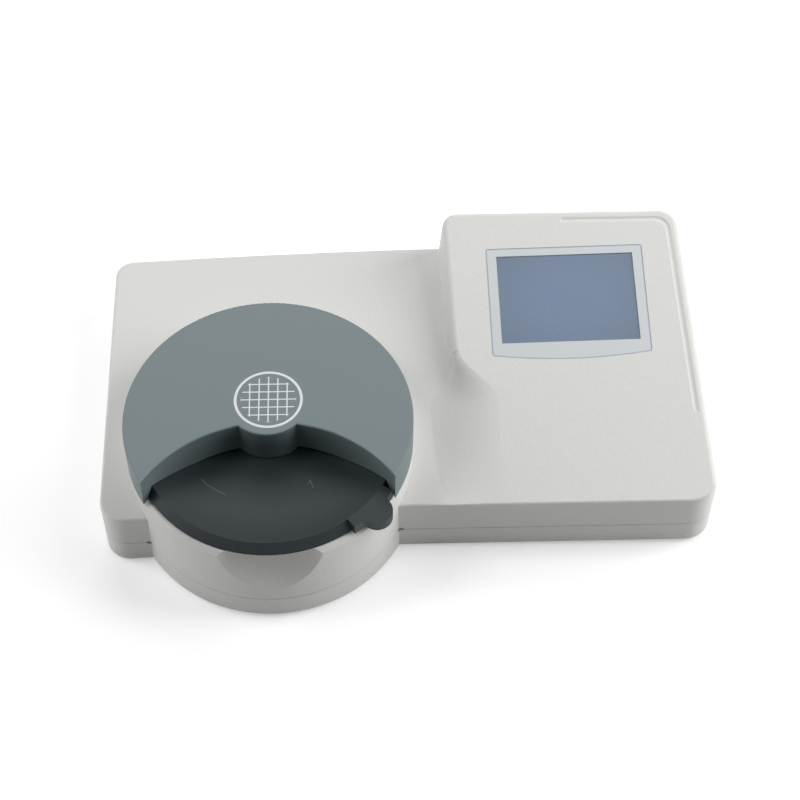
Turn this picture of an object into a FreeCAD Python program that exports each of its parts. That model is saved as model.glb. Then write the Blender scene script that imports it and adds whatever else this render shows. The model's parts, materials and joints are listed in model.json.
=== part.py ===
import FreeCAD, Part
import math
import os

os.makedirs("parts", exist_ok=True)
V = FreeCAD.Vector
UP = V(0, 0, 1)
EAST = V(1, 0, 0)
NORTH = V(0, 1, 0)

# Housing, in millimetres. X right, Y to the back, Z up from the bench
BODY_W = 320.0
EAST_X = BODY_W / 2
BODY_D = 171.5
FOOT_DROP = 2.0
FLAT_H = 38.0
PARTING_H = 15.6
PARTING_GAP = 0.3
WALL = 2.5
FLOOR_T = 2.5
LIP_T = 1.1
LIP_H = 2.0
FRONT_SWEEP = math.radians(3.1)
TURRET_X = 88.1 - EAST_X
KINK_X = TURRET_X + 29.9
BACK_DROP = 6.8
BACK_BOW = 2.4
BACK_BEND_X = EAST_X - 140.0
CORNER_FR = 14.5
CORNER_BR = 12.0
CORNER_BL = 9.5
CORNER_FL = 13.0
TOP_ROUND = 1.5
BASE_ROUND = 0.8
REAR_OUT = 5.0

# Wedge at the right, rising to the back
WEDGE_RISE = 31.1
WEDGE_LEAN_R = 10.0
WEDGE_LEAN_L = 2.5
WEDGE_X_FRONT = EAST_X - 130.7
WEDGE_X_BACK = EAST_X - 140.9
WEDGE_CORNER_R = 9.5
WEDGE_CORNER_L = 8.0
WEDGE_OVER = WEDGE_X_FRONT + 2.7
CREST_ROUND = 3.0
SADDLE_LEN = 87.6
SADDLE_RUN = 30.0
SADDLE_FOOT = EAST_X - 152.0
SADDLE_HEAD = EAST_X - 110.0
SADDLE_PULL = 0.45
SADDLE_LIFT = 0.03
SADDLE_ROUND = CREST_ROUND + 0.8
SADDLE_INSET = 0.15
SADDLE_RAISE = 0.1
SADDLE_SINK = 0.2
SADDLE_STEPS = 8
GROOVE_INSET = 5.2
GROOVE_R = 2.4
GROOVE_RAISE = 1.9
GROOVE_START = 50.6
GROOVE_TURN = 7.0

# Turret, its raised ring and the scoop in its front
TURRET_SETBACK = 33.8
TURRET_R = 73.5
TURRET_FOOT_R = TURRET_R + 0.8
RING_H = 52.0
RING_FLAT_R = TURRET_R - 2.3
RING_SLOPE = 2.2
WELL_R = TURRET_R - 12.5
WELL_DEPTH = 8.0
SCOOP_R = 91.5
SCOOP_OUT = 80.0
SCOOP_RISE = 18.4
SCOOP_SHIFT = 1.6
NOTCH = 2.2

# Crescent cover, clipped to the ring by hooks
LID_R = TURRET_R + 0.7
LID_H = 20.0
LID_WALL = 2.5
LID_SKIRT = 3.4
LID_CUT_R = LID_R + 1.7
LID_CUT_DX = 0.8
LID_CUT_DY = LID_R + 5.1
BOSS_R = 20.8
BOSS_DX = -0.5
BOSS_DY = 9.9
BOSS_DROP = 1.0
LID_ROUND = 0.8
COVER_GAP = 0.5
HOOK_ANGLES = (35.0, 90.0, 145.0)
HOOK_W = 8.0
HOOK_T = 1.2
HOOK_BITE = 1.2
HOOK_H = 1.8
HOOK_GAP = 0.2

# Sample disc with its lug, thumb tab and cuvette pocket
DISC_R = TURRET_R - 3.3
DISC_TOP_R = DISC_R - 3.3
DISC_RIM_H = 6.5
DISC_CREST = 0.4
DISC_GAP = 0.3
DISC_FLAT_R = 25.0
DISH_DROP = 1.8
DISC_PLATE = 3.0
DISC_UNDER_R = WELL_R - 2.5
LUG_R = DISC_R + 2.8
LUG_DEPTH = 7.0
LUG_FROM = -53.5
LUG_TO = -30.6
TAB_ANGLE = -41.7
TAB_R = 8.0
TAB_REACH = LUG_R + 0.2
TAB_BLEND = 2.5
POCKET_W = 13.0
POCKET_R0 = 22.0
POCKET_R1 = DISC_UNDER_R - 2.0
POCKET_DEPTH = 1.3
LIGHT_R = (POCKET_R0 + POCKET_R1) / 2
LIGHT_HOLE_R = 2.5
TURN_RANGE = 90.0
KEY_R = 3.0
KEY_AT = WELL_R - 11.0
KEY_ANGLE = 45.0
STOP_PIN_R = 2.0
STOP_GAP = 0.3
MAGNET_R = 3.0
MAGNET_T = 2.0
MAGNET_AT = WELL_R - 16.0
MAGNET_ANGLE = 200.0

# Spindle and bearings
SHAFT_R = 4.0
RUNNING = 0.03
SEAT = 0.02
SHAFT_BELOW = 12.5
SHAFT_ABOVE = 6.5
GROOVE_NECK_R = 3.3
BUSH_R = 6.5
BUSH_LEN = 10.0
BUSH_FLANGE_R = 9.0
BUSH_FLANGE_T = 1.0
UPPER_BUSH_R = 6.0
UPPER_BUSH_LEN = 4.4
WASHER_R = 8.5
HUB_FLANGE_R = 16.0
HUB_FLANGE_T = 1.8
HUB_SCREW_AT = 10.5
CLIP_T = 0.8
CLIP_R = 7.0
FIT_END = 0.05

# Display, its place on the wedge and its turn in plan
LCD_X = EAST_X - 72.0
LCD_FROM_BACK = 53.8
LCD_W = 74.3
LCD_H = 52.9
LCD_TURN = 1.07
OVERLAY_W = 85.0
OVERLAY_H = 64.6
OVERLAY_SHIFT = -1.2
OVERLAY_BOW = 3.2
OVERLAY_T = 0.5
OVERLAY_SINK = 0.1
OVERLAY_REVEAL = 0.2
OVERLAY_CORNER = 1.5
PANEL_T = 1.1
PANEL_EDGE = 2.5
PANEL_REVEAL = 0.3
WINDOW_EDGE = 1.0
MODULE_EDGE = 5.0
MODULE_T = 4.0
FRAME_BAR = 6.0
FRAME_T = 2.5
DISPLAY_POST = (49.0, 36.0)
BOARD_T = 1.6

# Boards and what stands on them. Distances along Y count from the front face
MAIN_BOARD_X = (EAST_X - 120.0, EAST_X - 20.0)
MAIN_BOARD_Y = (26.0, 165.0)
STANDOFF_H = 7.5
STANDOFF_R = 3.5
SCREW_R = 1.45
SCREW_HOLE = 1.5
HEAD_R = 2.9
HEAD_H = 2.0
RECESS_R = 1.1
RECESS_H = 1.0
POST_R = 4.8
SENSOR_BOARD = (30.0, 24.0)
SENSOR_POST = 11.0
HOLDER_R = 6.0
HOLDER_LEN = 7.5
LAMP_R = 2.5
LAMP_CAP = 1.5
WINDOW_R = 5.0
WINDOW_T = 1.5

# Rear interfaces, as places along X
SERIAL_X = EAST_X - 82.0
SERIAL_BODY = (31.0, 10.0, 12.5)
SERIAL_SHELL = (8.4, 7.6, 4.1)
JACK_SPACING = 25.0
JACK_R = 2.75
INLET_X = EAST_X - 47.0
INLET_SIZE = (9.0, 14.0, 11.0)
INLET_BORE = 3.2
SWITCH_X = EAST_X - 32.0
SWITCH_H = 42.0
SWITCH_SIZE = (15.0, 21.0)
SWITCH_DEEP = 15.0
BEZEL = 1.3
BEZEL_T = 1.2
ROCKER_R = 9.3
ROCKER_W = 12.6
ROCKER_TILT = 8.0
ROCKER_BACK = 5.0
PIVOT_R = 1.0

FOOT_R = 7.0
FOOT_T = 3.2
FEET = ((22 - EAST_X, 30), (24 - EAST_X, 136), (EAST_X - 22, 138), (EAST_X - 22, 36))
CASE_SCREWS = ((13 - EAST_X, 150), (13 - EAST_X, 17), (EAST_X - 154, 156), (EAST_X - 12, 152),
               (EAST_X - 13, 24), (EAST_X - 126, 14))
CASE_SCREW_IN = 12.0

# Places worked out from the sizes above
BODY_Z = FOOT_DROP
FLAT_Z = BODY_Z + FLAT_H
PART_Z = BODY_Z + PARTING_H
TOP_Z = PART_Z + PARTING_GAP / 2
BASE_TOP = PART_Z - PARTING_GAP / 2
RING_Z = BODY_Z + RING_H
BULGE = TURRET_FOOT_R - TURRET_SETBACK
FRONT_Y = -(BODY_D + BULGE + REAR_OUT) / 2 + BULGE
BACK_Y = FRONT_Y + BODY_D
TURRET_Y = FRONT_Y + TURRET_SETBACK
LID_TOP = RING_Z + LID_H
ROOF_Z = LID_TOP - LID_WALL
WELL_Z = RING_Z - WELL_DEPTH
CEILING_Z = WELL_Z - WALL
DISC_Z = RING_Z + DISC_GAP
DISH_Z = DISC_Z - DISH_DROP
DISC_TOP = DISC_Z + DISC_RIM_H
DISC_UNDER = DISH_Z - DISC_PLATE
HUB_Z = DISC_UNDER - HUB_FLANGE_T
BOSS_Z = RING_Z - BOSS_DROP
SLOPE = math.atan2(WEDGE_RISE, BODY_D)
FLOOR_Z = BODY_Z + FLOOR_T
BOARD_Z = FLOOR_Z + STANDOFF_H
BOARD_TOP = BOARD_Z + BOARD_T
SWITCH_Z = BODY_Z + SWITCH_H
LCD_Y = BACK_Y - LCD_FROM_BACK


def box(x0, x1, y0, y1, z0, z1):
    return Part.makeBox(x1 - x0, y1 - y0, z1 - z0, V(x0, y0, z0))


def cyl(r, z0, z1, x, y):
    return Part.makeCylinder(r, z1 - z0, V(x, y, z0))


def tube(r_out, r_in, z0, z1, x, y):
    return cyl(r_out, z0, z1, x, y).cut(cyl(r_in, z0 - 1, z1 + 1, x, y))


def cyl_y(r, y0, y1, x, z):
    return Part.makeCylinder(r, y1 - y0, V(x, y0, z), NORTH)


def line(a, b):
    return Part.LineSegment(a, b).toShape()


def face_of(points):
    return Part.Face(Part.makePolygon(list(points) + [points[0]]))


def turned(profile, x, y):
    """Solid of revolution of (radius, height) pairs about the upright line at x, y."""
    face = face_of([V(x + r, y, z) for r, z in profile])
    return face.revolve(V(x, y, 0), UP, 360)


def joined(shapes):
    first = shapes[0]
    for other in shapes[1:]:
        first = first.fuse(other)
    return first.removeSplitter()


def polar(radius, degrees):
    """Point at a radius and direction about the turret's axis."""
    a = math.radians(degrees)
    return TURRET_X + radius * math.cos(a), TURRET_Y + radius * math.sin(a)


def edges_near(shape, x, y, reach):
    """The upright edges of a shape that stand within reach of x, y."""
    found = []
    for edge in shape.Edges:
        ends = [v.Point for v in edge.Vertexes]
        if len(ends) == 2 and abs(ends[0].z - ends[1].z) > 1:
            if all(math.hypot(p.x - x, p.y - y) < reach for p in ends):
                found.append(edge)
    return found


def edges_at(shape, z):
    """The edges of a shape that lie level at a height."""
    return [e for e in shape.Edges if all(abs(v.Point.z - z) < 0.01 for v in e.Vertexes)]


def wedge_top(y):
    """Height of the wedge's top plane at a distance y."""
    return FLAT_Z + (y - FRONT_Y) * math.tan(SLOPE)


def screw(x, y, z_head, z_tip, r=SCREW_R):
    """Pan-head screw standing on its tip, or hanging when the tip is higher than the head."""
    sign = 1 if z_head > z_tip else -1
    head_end = z_head + sign * HEAD_H
    low, high = sorted((z_tip, z_head))
    h_low, h_high = sorted((z_head, head_end))
    shape = cyl(r, low, high, x, y).fuse(cyl(HEAD_R, h_low, h_high, x, y))
    s_low, s_high = sorted((head_end - sign * RECESS_H, head_end + sign))
    return shape.cut(cyl(RECESS_R, s_low, s_high, x, y)).removeSplitter()


# Outer forms. An inset gives the matching inner form of the wall
def body_prism(inset, z0, z1):
    """The whole plan of the housing without the turret, as an upright prism."""
    west = -BODY_W / 2 + inset
    east = BODY_W / 2 - inset
    south = FRONT_Y + inset
    north = BACK_Y - inset
    kink = V(KINK_X, south, z0)
    sw = V(west, south - (KINK_X - west) * math.tan(FRONT_SWEEP), z0)
    se = V(east, south, z0)
    ne = V(east, north, z0)
    bend = V(BACK_BEND_X, north, z0)
    mid = V((BACK_BEND_X + west) / 2, north - BACK_BOW, z0)
    nw = V(west, north - BACK_DROP, z0)
    rim = [line(kink, se), line(se, ne), line(ne, bend), Part.Arc(bend, mid, nw).toShape(),
           line(nw, sw), line(sw, kink)]
    solid = Part.Face(Part.Wire(rim)).extrude(V(0, 0, z1 - z0))
    for corner, radius in ((se, CORNER_FR), (ne, CORNER_BR), (nw, CORNER_BL), (sw, CORNER_FL)):
        solid = solid.makeFillet(radius - inset, edges_near(solid, corner.x, corner.y, 1))
    return solid


def wedge_block(inset, z0, crest):
    """The right part of the housing from its foot to the sloping top, with rounded corners."""
    drop = inset / math.cos(SLOPE)
    south = FRONT_Y + inset
    north = BACK_Y - inset
    east = BODY_W / 2 - inset
    below = (FLAT_Z - z0) * WEDGE_LEAN_L / WEDGE_RISE
    front_x = WEDGE_X_FRONT + inset
    back_x = WEDGE_X_BACK + inset
    low = [V(front_x - below, south, z0), V(east, south, z0), V(east, north, z0),
           V(back_x - below, north, z0)]
    high = [V(front_x, south, wedge_top(south) - drop), V(east, south, wedge_top(south) - drop),
            V(east - WEDGE_LEAN_R, north, wedge_top(north) - drop),
            V(back_x + WEDGE_LEAN_L, north, wedge_top(north) - drop)]
    solid = Part.makeLoft([Part.makePolygon(low + low[:1]), Part.makePolygon(high + high[:1])], True, True)
    corners = ((low[2], high[2], WEDGE_CORNER_R), (low[3], high[3], WEDGE_CORNER_L))
    for a, b, radius in corners:
        centre = (a + b) * 0.5
        reach = a.distanceToPoint(b) / 2
        upright = [e for e in solid.Edges if e.CenterOfMass.distanceToPoint(centre) < 0.1 * reach]
        solid = solid.makeFillet(radius - inset, upright)
    if crest:
        solid = solid.makeFillet(crest, crest_edges(solid))
    return solid


def crest_edges(solid):
    """Edges of the sloping top face behind the front edge."""
    tops = [f for f in solid.Faces if f.normalAt(0, 0).z > 0.9]
    top = max(tops, key=lambda f: f.CenterOfMass.z)
    return [e for e in top.Edges if e.CenterOfMass.y > FRONT_Y + 10]


def under_slope(inset, z0, rounding):
    """The housing's right part up to the plane of the wedge's top, with the rounded front edge."""
    west = WEDGE_X_BACK - 40
    solid = body_prism(inset, z0, z0 + 80).cut(box(-BODY_W, west, -BODY_D, BODY_D, 0, 200))
    above = box(-BODY_W, BODY_W, 0, 2 * BODY_D, 0, 100)
    above.rotate(V(0, 0, 0), EAST, math.degrees(SLOPE))
    above = above.fuse(box(-BODY_W, BODY_W, -20, 0, 0, 100))
    above.translate(V(0, FRONT_Y, FLAT_Z - inset / math.cos(SLOPE)))
    solid = solid.cut(above)
    if rounding:
        tops = [f for f in solid.Faces if f.normalAt(0, 0).z > 0.9]
        rim = [e for e in max(tops, key=lambda f: f.Area).Edges if e.CenterOfMass.x > west + 1]
        solid = solid.makeFillet(rounding, rim)
    return solid


def wall_profile(y, inset, base, top):
    """Poles of the left wall and its rounded crest at a distance y, a little inside the wedge's own."""
    lean = WEDGE_LEAN_L / WEDGE_RISE
    u = (y - FRONT_Y - inset) / (BODY_D - 2 * inset)
    x = WEDGE_X_FRONT + u * (WEDGE_X_BACK - WEDGE_X_FRONT) + inset + SADDLE_INSET
    up = V(lean, 0, 1).normalize()
    foot = V(x + (base - FLAT_Z) * lean, y, base)
    corner = V(x + (top - FLAT_Z) * lean, y, top)
    tangent = SADDLE_ROUND / math.tan(math.pi / 4 + math.atan(lean) / 2)
    reach = 4 / 3 * SADDLE_ROUND * math.tan(math.pi / 8 - math.atan(lean) / 4)
    middle = corner - up * tangent
    head = corner + EAST * tangent
    near = middle - up * reach
    return [foot, (foot + near) * 0.5, near, middle, middle + up * reach, head - EAST * reach, head]


def runout_profile(y, inset, base, top):
    """Poles of the soft rise from the flat top to the wedge's top at a distance y, halved in the middle."""
    foot = SADDLE_FOOT + inset
    head = SADDLE_HEAD + inset
    pull = SADDLE_PULL * (head - foot)
    p = [V(foot, y, base), V(foot + pull, y, base), V(head - pull, y, top), V(head, y, top)]
    a, b, c = [(p[k] + p[k + 1]) * 0.5 for k in range(3)]
    d, e = (a + b) * 0.5, (b + c) * 0.5
    return [p[0], a, d, (d + e) * 0.5, e, c, p[3]]


def saddle_tool(inset):
    """The room over the smooth change from the wedge's left wall to the soft rise in front of it."""
    back = FRONT_Y + SADDLE_LEN
    front = FRONT_Y - 0.5
    turn = back - SADDLE_RUN
    steps = [k / SADDLE_STEPS for k in range(SADDLE_STEPS + 1)]
    stations = [back + 0.5] + [back - SADDLE_RUN * k for k in steps]
    stations += [turn - (turn - front) * k for k in steps[1:]]
    west = SADDLE_FOOT - 8
    high = FLAT_Z + 80
    base = FLAT_Z - SADDLE_SINK - inset
    wires = []
    for y in stations:
        t = min(1.0, max(0.0, (back - y) / SADDLE_RUN))
        s = t * t * (3 - 2 * t)
        top = wedge_top(y) - inset / math.cos(SLOPE) + SADDLE_RAISE * (1 - s) + SADDLE_LIFT * s
        wall = wall_profile(y, inset, base, top)
        soft = runout_profile(y, inset, base, top)
        poles = [a * (1 - s) + b * s for a, b in zip(wall, soft)]
        rim = []
        for part in (poles[:4], poles[3:]):
            curve = Part.BezierCurve()
            curve.setPoles(part)
            rim.append(curve.toShape())
        corners = [poles[6], V(poles[6].x, y, high), V(west, y, high), V(west, y, base), poles[0]]
        wires.append(Part.Wire(rim + [line(a, b) for a, b in zip(corners, corners[1:])]))
    return Part.makeLoft(wires, True, False)


def right_form(inset, z0, crest=0.0, rounding=0.0):
    """The wedge, with the front half of its left side running out into the flat top."""
    back = FRONT_Y + SADDLE_LEN
    under = under_slope(inset, z0, rounding)
    head = SADDLE_HEAD + 1 + inset
    room = box(-BODY_W, head, -BODY_D, back, 0, 200)
    wedge = wedge_block(inset, z0, crest).common(under).cut(room)
    soft = under.common(box(SADDLE_FOOT - 1 + inset, head, -BODY_D, back, 0, 200)).cut(saddle_tool(inset))
    return joined([wedge, soft])


def scoop(grow):
    """Thumb scoop: a large ball that dips into the front of the turret's ring."""
    centre = V(TURRET_X + SCOOP_SHIFT, TURRET_Y - TURRET_R - SCOOP_OUT, RING_Z + SCOOP_RISE)
    return Part.makeSphere(SCOOP_R + grow, centre)


def outer_form():
    left = body_prism(0, TOP_Z, FLAT_Z)
    left = left.makeFillet(TOP_ROUND, edges_at(left, FLAT_Z))
    left = left.cut(box(WEDGE_OVER, BODY_W, -BODY_D, BODY_D, 0, 100))
    right = right_form(0, TOP_Z, CREST_ROUND, TOP_ROUND)
    turret = turned([(0, TOP_Z), (TURRET_FOOT_R, TOP_Z), (TURRET_R, RING_Z - RING_SLOPE),
                     (RING_FLAT_R, RING_Z), (0, RING_Z)], TURRET_X, TURRET_Y)
    return joined([left, right, turret])


def inner_form():
    """Space inside the top shell, also up behind the turret's ring."""
    low = PART_Z - 5
    left = body_prism(WALL, low, FLAT_Z - WALL)
    left = left.cut(box(WEDGE_OVER, BODY_W, -BODY_D, BODY_D, 0, 100))
    right = right_form(WALL, low)
    r_out = TURRET_R - WALL
    r_in = WELL_R + WALL
    drum = turned([(0, low), (r_out, low), (r_out, RING_Z - WALL), (r_in, RING_Z - WALL),
                   (r_in, CEILING_Z), (0, CEILING_Z)], TURRET_X, TURRET_Y)
    return joined([left, right, drum]).cut(scoop(WALL))


def plan_form(inset, z0, z1, rounding=0.0):
    """The housing's plan with the turret, as used below the parting line."""
    body = body_prism(inset, z0, z1)
    drum = cyl(TURRET_FOOT_R - inset, z0, z1, TURRET_X, TURRET_Y)
    if rounding:
        body = body.makeFillet(rounding, edges_at(body, z0))
        drum = drum.makeFillet(rounding, edges_at(drum, z0))
    return joined([body, drum])


# Display stack, drawn flat round the origin and then laid on the wedge
def laid(shape):
    shape = shape.copy()
    shape.rotate(V(0, 0, 0), UP, LCD_TURN)
    shape.rotate(V(0, 0, 0), EAST, math.degrees(SLOPE))
    shape.translate(V(LCD_X, LCD_Y, wedge_top(LCD_Y)))
    return shape


def plate(edge, z0, z1):
    """Rectangle that reaches a distance past the picture area on every side."""
    return box(-LCD_W / 2 - edge, LCD_W / 2 + edge, -LCD_H / 2 - edge, LCD_H / 2 + edge, z0, z1)


def display_corners():
    return [(sx * DISPLAY_POST[0], sy * DISPLAY_POST[1]) for sx in (-1, 1) for sy in (-1, 1)]


def overlay_form(grow, z0, z1):
    """Overlay film: a rectangle whose near side bows outwards."""
    w = OVERLAY_W / 2 + grow
    top = OVERLAY_SHIFT + OVERLAY_H / 2 + grow
    low = OVERLAY_SHIFT - OVERLAY_H / 2 - grow
    rim = [line(V(w, low, z0), V(w, top, z0)), line(V(w, top, z0), V(-w, top, z0)),
           line(V(-w, top, z0), V(-w, low, z0)),
           Part.Arc(V(-w, low, z0), V(0, low - OVERLAY_BOW, z0), V(w, low, z0)).toShape()]
    solid = Part.Face(Part.Wire(rim)).extrude(V(0, 0, z1 - z0))
    upright = [e for e in solid.Edges if len(e.Vertexes) == 2
               and abs(e.Vertexes[0].Point.z - e.Vertexes[1].Point.z) > 0.9 * (z1 - z0)]
    return solid.makeFillet(OVERLAY_CORNER, upright)


OVERLAY_LOW = -OVERLAY_SINK - OVERLAY_T
PANEL_LOW = OVERLAY_LOW - PANEL_T
MODULE_TOP = -WALL
MODULE_LOW = MODULE_TOP - MODULE_T
FRAME_LOW = MODULE_LOW - FRAME_T
DISPLAY_BOARD_LOW = FRAME_LOW - BOARD_T


def display_recess():
    """Stepped seat in the wedge's top for the film and the glass, with the window."""
    film = overlay_form(OVERLAY_REVEAL, OVERLAY_LOW, 10)
    glass = plate(PANEL_EDGE + PANEL_REVEAL, PANEL_LOW, 0)
    window = plate(WINDOW_EDGE, -10, 0)
    return [laid(film), laid(glass), laid(window)]


def display_nodes():
    film = overlay_form(0, OVERLAY_LOW, -OVERLAY_SINK).cut(plate(0, -10, 10))
    glass = plate(PANEL_EDGE, PANEL_LOW, OVERLAY_LOW)
    module = plate(MODULE_EDGE, MODULE_LOW, MODULE_TOP)
    x1, y1 = DISPLAY_POST
    reach = POST_R
    outer = box(-x1 - reach, x1 + reach, -y1 - reach, y1 + reach, FRAME_LOW, MODULE_LOW)
    inner = plate(MODULE_EDGE - FRAME_BAR, FRAME_LOW - 1, MODULE_LOW + 1)
    frame = outer.cut(inner)
    board = box(-x1 - reach, x1 + reach, -y1 - reach, y1 + reach, DISPLAY_BOARD_LOW, FRAME_LOW)
    screws = []
    for x, y in display_corners():
        hole = cyl(SCREW_HOLE, -20, 0, x, y)
        frame = frame.cut(hole)
        board = board.cut(hole)
        screws.append(screw(x, y, DISPLAY_BOARD_LOW, MODULE_TOP - 1))
    return {"screen_overlay": laid(film), "touch_panel": laid(glass), "display_module": laid(module),
            "display_frame": laid(frame), "display_board": laid(board),
            "display_screws": laid(Part.makeCompound(screws))}


# Details cut into or hung from the two shells
def panel_groove():
    """Shallow groove with round ends along the wedge's right crest and round its back corner."""
    run = WEDGE_LEAN_R / BODY_D
    y_back = BACK_Y - GROOVE_INSET - 1.6
    y_start = FRONT_Y + GROOVE_START

    def at(x, y):
        return V(x, y, wedge_top(y) + GROOVE_RAISE)

    def side(y):
        return BODY_W / 2 - GROOVE_INSET - run * (y - FRONT_Y)

    middle = y_back - GROOVE_TURN
    points = [at(side(y_start), y_start)]
    for k in range(5):
        a = math.radians(22.5 * k)
        x = side(middle) - GROOVE_TURN * (1 - math.cos(a))
        points.append(at(x, middle + GROOVE_TURN * math.sin(a)))
    points.append(at(LCD_X, y_back))
    cuts = [Part.makeSphere(GROOVE_R, p) for p in points]
    for p, q in zip(points, points[1:]):
        cuts.append(Part.makeCylinder(GROOVE_R, p.distanceToPoint(q), p, q - p))
    return cuts


def junction_notches():
    """Small reliefs where the turret's wall leaves the front face at the parting line."""
    half = NOTCH / 2
    cuts = []
    dx = math.sqrt(TURRET_FOOT_R ** 2 - TURRET_SETBACK ** 2)
    x = TURRET_X + dx
    cuts.append(box(x - 0.6, x + NOTCH, FRONT_Y - half, FRONT_Y + half, PART_Z - half, PART_Z + half))
    y = FRONT_Y - (KINK_X - TURRET_X + dx) * math.tan(FRONT_SWEEP)
    x = TURRET_X - math.sqrt(TURRET_FOOT_R ** 2 - (TURRET_Y - y) ** 2)
    cuts.append(box(x - NOTCH, x + 0.6, y - half, y + half, PART_Z - half, PART_Z + half))
    return cuts


def serial_outline(grow):
    """Upright D-shaped outline of the serial connector, as (x, z) half sizes."""
    top, low, high = SERIAL_SHELL
    return [(-top - grow, high + grow), (top + grow, high + grow), (low + grow, -high - grow),
            (-low - grow, -high - grow)]


def serial_prism(grow, y0, y1):
    z = BOARD_TOP + SERIAL_BODY[2] / 2
    face = face_of([V(SERIAL_X + px, y0, z + pz) for px, pz in serial_outline(grow)])
    solid = face.extrude(V(0, y1 - y0, 0))
    along = [e for e in solid.Edges if abs(e.Vertexes[0].Point.y - e.Vertexes[1].Point.y) > 0.9 * (y1 - y0)]
    return solid.makeFillet(1.6, along)


def jack_places():
    z = BOARD_TOP + SERIAL_BODY[2] / 2
    return [(SERIAL_X - JACK_SPACING / 2, z), (SERIAL_X + JACK_SPACING / 2, z)]


def rear_cuts():
    """Openings in the back wall for the serial port, the inlet and the switch."""
    y0 = BACK_Y - 6
    y1 = BACK_Y + 5
    cuts = [serial_prism(0.4, y0, y1)]
    for x, z in jack_places():
        cuts.append(cyl_y(SCREW_HOLE + 0.1, y0, y1, x, z))
    w, d, h = INLET_SIZE
    half = w / 2 + 0.2
    cuts.append(box(INLET_X - half, INLET_X + half, y0, y1, BOARD_TOP - 0.1, BOARD_TOP + h + 0.2))
    sw, sh = SWITCH_SIZE
    cuts.append(box(SWITCH_X - sw / 2, SWITCH_X + sw / 2, y0, y1, SWITCH_Z - sh / 2, SWITCH_Z + sh / 2))
    return cuts


def front_places(places):
    return [(x, FRONT_Y + y) for x, y in places]


def make_top_shell():
    outer = outer_form()
    inner = inner_form()
    shell = outer.cut(inner)
    posts = [cyl(POST_R, PART_Z + LIP_H + 0.5, 90, x, y) for x, y in front_places(CASE_SCREWS)]
    posts.append(cyl(BUSH_R + 3, WELL_Z - BUSH_LEN + 0.5, WELL_Z, TURRET_X, TURRET_Y))
    lx, ly = polar(LIGHT_R, 0)
    for side in (-1, 1):
        posts.append(cyl(3.2, CEILING_Z - HOLDER_LEN, CEILING_Z, lx + side * SENSOR_POST, ly + side * 8))
    for x, y in display_corners():
        posts.append(laid(cyl(POST_R - 1, MODULE_LOW, 0, x, y)))
    kept = Part.makeCompound(posts).common(inner.fuse(cyl(20, CEILING_Z - 1, WELL_Z, TURRET_X, TURRET_Y)))
    shell = shell.fuse(kept.Solids)
    cuts = [scoop(0), cyl(WELL_R, WELL_Z, RING_Z + 5, TURRET_X, TURRET_Y)]
    cuts.append(cyl(BUSH_R + SEAT, 20, WELL_Z + 1, TURRET_X, TURRET_Y))
    cuts.append(cyl(WINDOW_R + SEAT, WELL_Z - WINDOW_T, WELL_Z + 1, lx, ly))
    cuts.append(cyl(WINDOW_R - 1.5, CEILING_Z - 1, WELL_Z, lx, ly))
    for x, y in stop_places():
        cuts.append(cyl(STOP_PIN_R + SEAT, WELL_Z - 1.5, WELL_Z + 1, x, y))
    for side in (-1, 1):
        cuts.append(cyl(SCREW_HOLE, 20, CEILING_Z + 1, lx + side * SENSOR_POST, ly + side * 8))
    for x, y in front_places(CASE_SCREWS):
        cuts.append(cyl(SCREW_HOLE, 10, PART_Z + CASE_SCREW_IN + 1, x, y))
    for x, y in display_corners():
        cuts.append(laid(cyl(SCREW_HOLE, -20, MODULE_TOP, x, y)))
    for angle in HOOK_ANGLES:
        cuts.append(hook_slot(angle))
    cuts += display_recess() + panel_groove() + junction_notches() + rear_cuts()
    cuts.append(plan_form(WALL - LIP_T - 0.1, PART_Z - 5, PART_Z + LIP_H + 0.2))
    for cut in cuts:
        shell = shell.cut(cut)
    return shell


def make_base_shell():
    outer = plan_form(0, BODY_Z, BASE_TOP, BASE_ROUND)
    shell = outer.cut(plan_form(WALL, FLOOR_Z, BASE_TOP + 1))
    lip = plan_form(WALL - LIP_T, BASE_TOP - 1, PART_Z + LIP_H).cut(plan_form(WALL, BASE_TOP - 2, 90))
    posts = [cyl(POST_R, FLOOR_Z - 1, PART_Z + LIP_H + 0.5, x, y) for x, y in front_places(CASE_SCREWS)]
    posts += [cyl(STANDOFF_R, FLOOR_Z - 1, BOARD_Z, x, y) for x, y in board_corners()]
    for post in posts + [lip]:
        shell = shell.fuse(post)
    cuts = rear_cuts() + junction_notches()
    for x, y in front_places(CASE_SCREWS):
        cuts.append(cyl(SCREW_HOLE + 0.2, 0, 40, x, y))
        cuts.append(cyl(HEAD_R + 0.3, 0, BODY_Z + HEAD_H + 0.6, x, y))
    for x, y in board_corners():
        cuts.append(cyl(SCREW_HOLE, FLOOR_Z + 1, 40, x, y))
    for x, y in front_places(FEET):
        cuts.append(cyl(FOOT_R + 0.1, 0, FOOT_T, x, y))
    for cut in cuts:
        shell = shell.cut(cut)
    return shell.removeSplitter()


def make_feet():
    low = FOOT_R - 0.8
    profile = [(0, 0), (low - 0.4, 0), (low, 0.4), (FOOT_R, FOOT_DROP), (FOOT_R, FOOT_T), (0, FOOT_T)]
    return [turned(profile, x, y) for x, y in front_places(FEET)]


# Cover over the sample disc
def lid_plan(inset, z0, z1):
    """Crescent between the ring and the bite that the bench-side arc takes out of it."""
    skirt = LID_SKIRT if inset else 0
    full = cyl(LID_R - skirt, z0, z1, TURRET_X, TURRET_Y)
    bite = cyl(LID_CUT_R + inset, z0 - 1, z1 + 1, TURRET_X + LID_CUT_DX, TURRET_Y - LID_CUT_DY)
    return full.cut(bite)


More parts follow.
